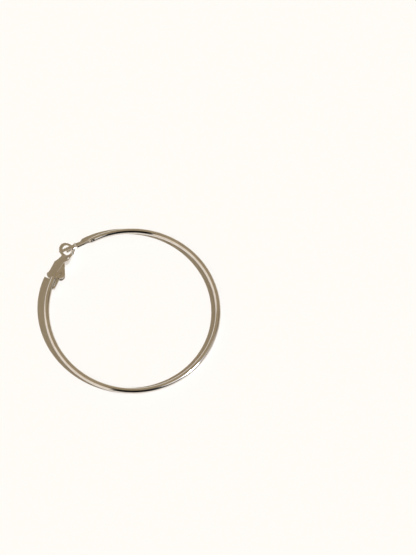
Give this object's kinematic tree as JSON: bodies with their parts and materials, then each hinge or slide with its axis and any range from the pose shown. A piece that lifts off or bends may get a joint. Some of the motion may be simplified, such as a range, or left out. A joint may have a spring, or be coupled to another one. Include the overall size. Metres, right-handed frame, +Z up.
{
  "type": "hoop earring",
  "caption": "Large thin round tube hoop earring with an ear post and a hinged snap lever whose eye closes over the post.",
  "frame": {"origin": "middle of the footprint, on the surface that the earring lies on", "axes": "+Z up, +Y from the hoop's far side towards the clasp gap, +X towards the end that carries the ear post. The hoop's own plane is raised 1.8 degrees at the clasp, because the lever's eye stands on the table"},
  "size_m": [0.0702, 0.0716, 0.0066],
  "materials": {
    "plated_tube": "mirror polished plated brass tube",
    "plated_post": "polished plated wire",
    "plated_sheet": "tumbled and plated stamped sheet",
    "plated_pin": "plated pin with peened ends"
  },
  "bodies": {
    "hoop_body": {"hoop": "plated_tube", "ear_post": "plated_post", "hinge_pin": "plated_pin"},
    "lever": {"clasp_lever": "plated_sheet"}
  },
  "joints": [
    {"name": "lever_hinge", "type": "hinge", "parent": "hoop_body", "child": "lever", "pos_m": [-0.00879, 0.03019, 0.00315], "axis": [-0.0026, -0.0318, 0.9995], "range_deg": [0, 75]}
  ]
}
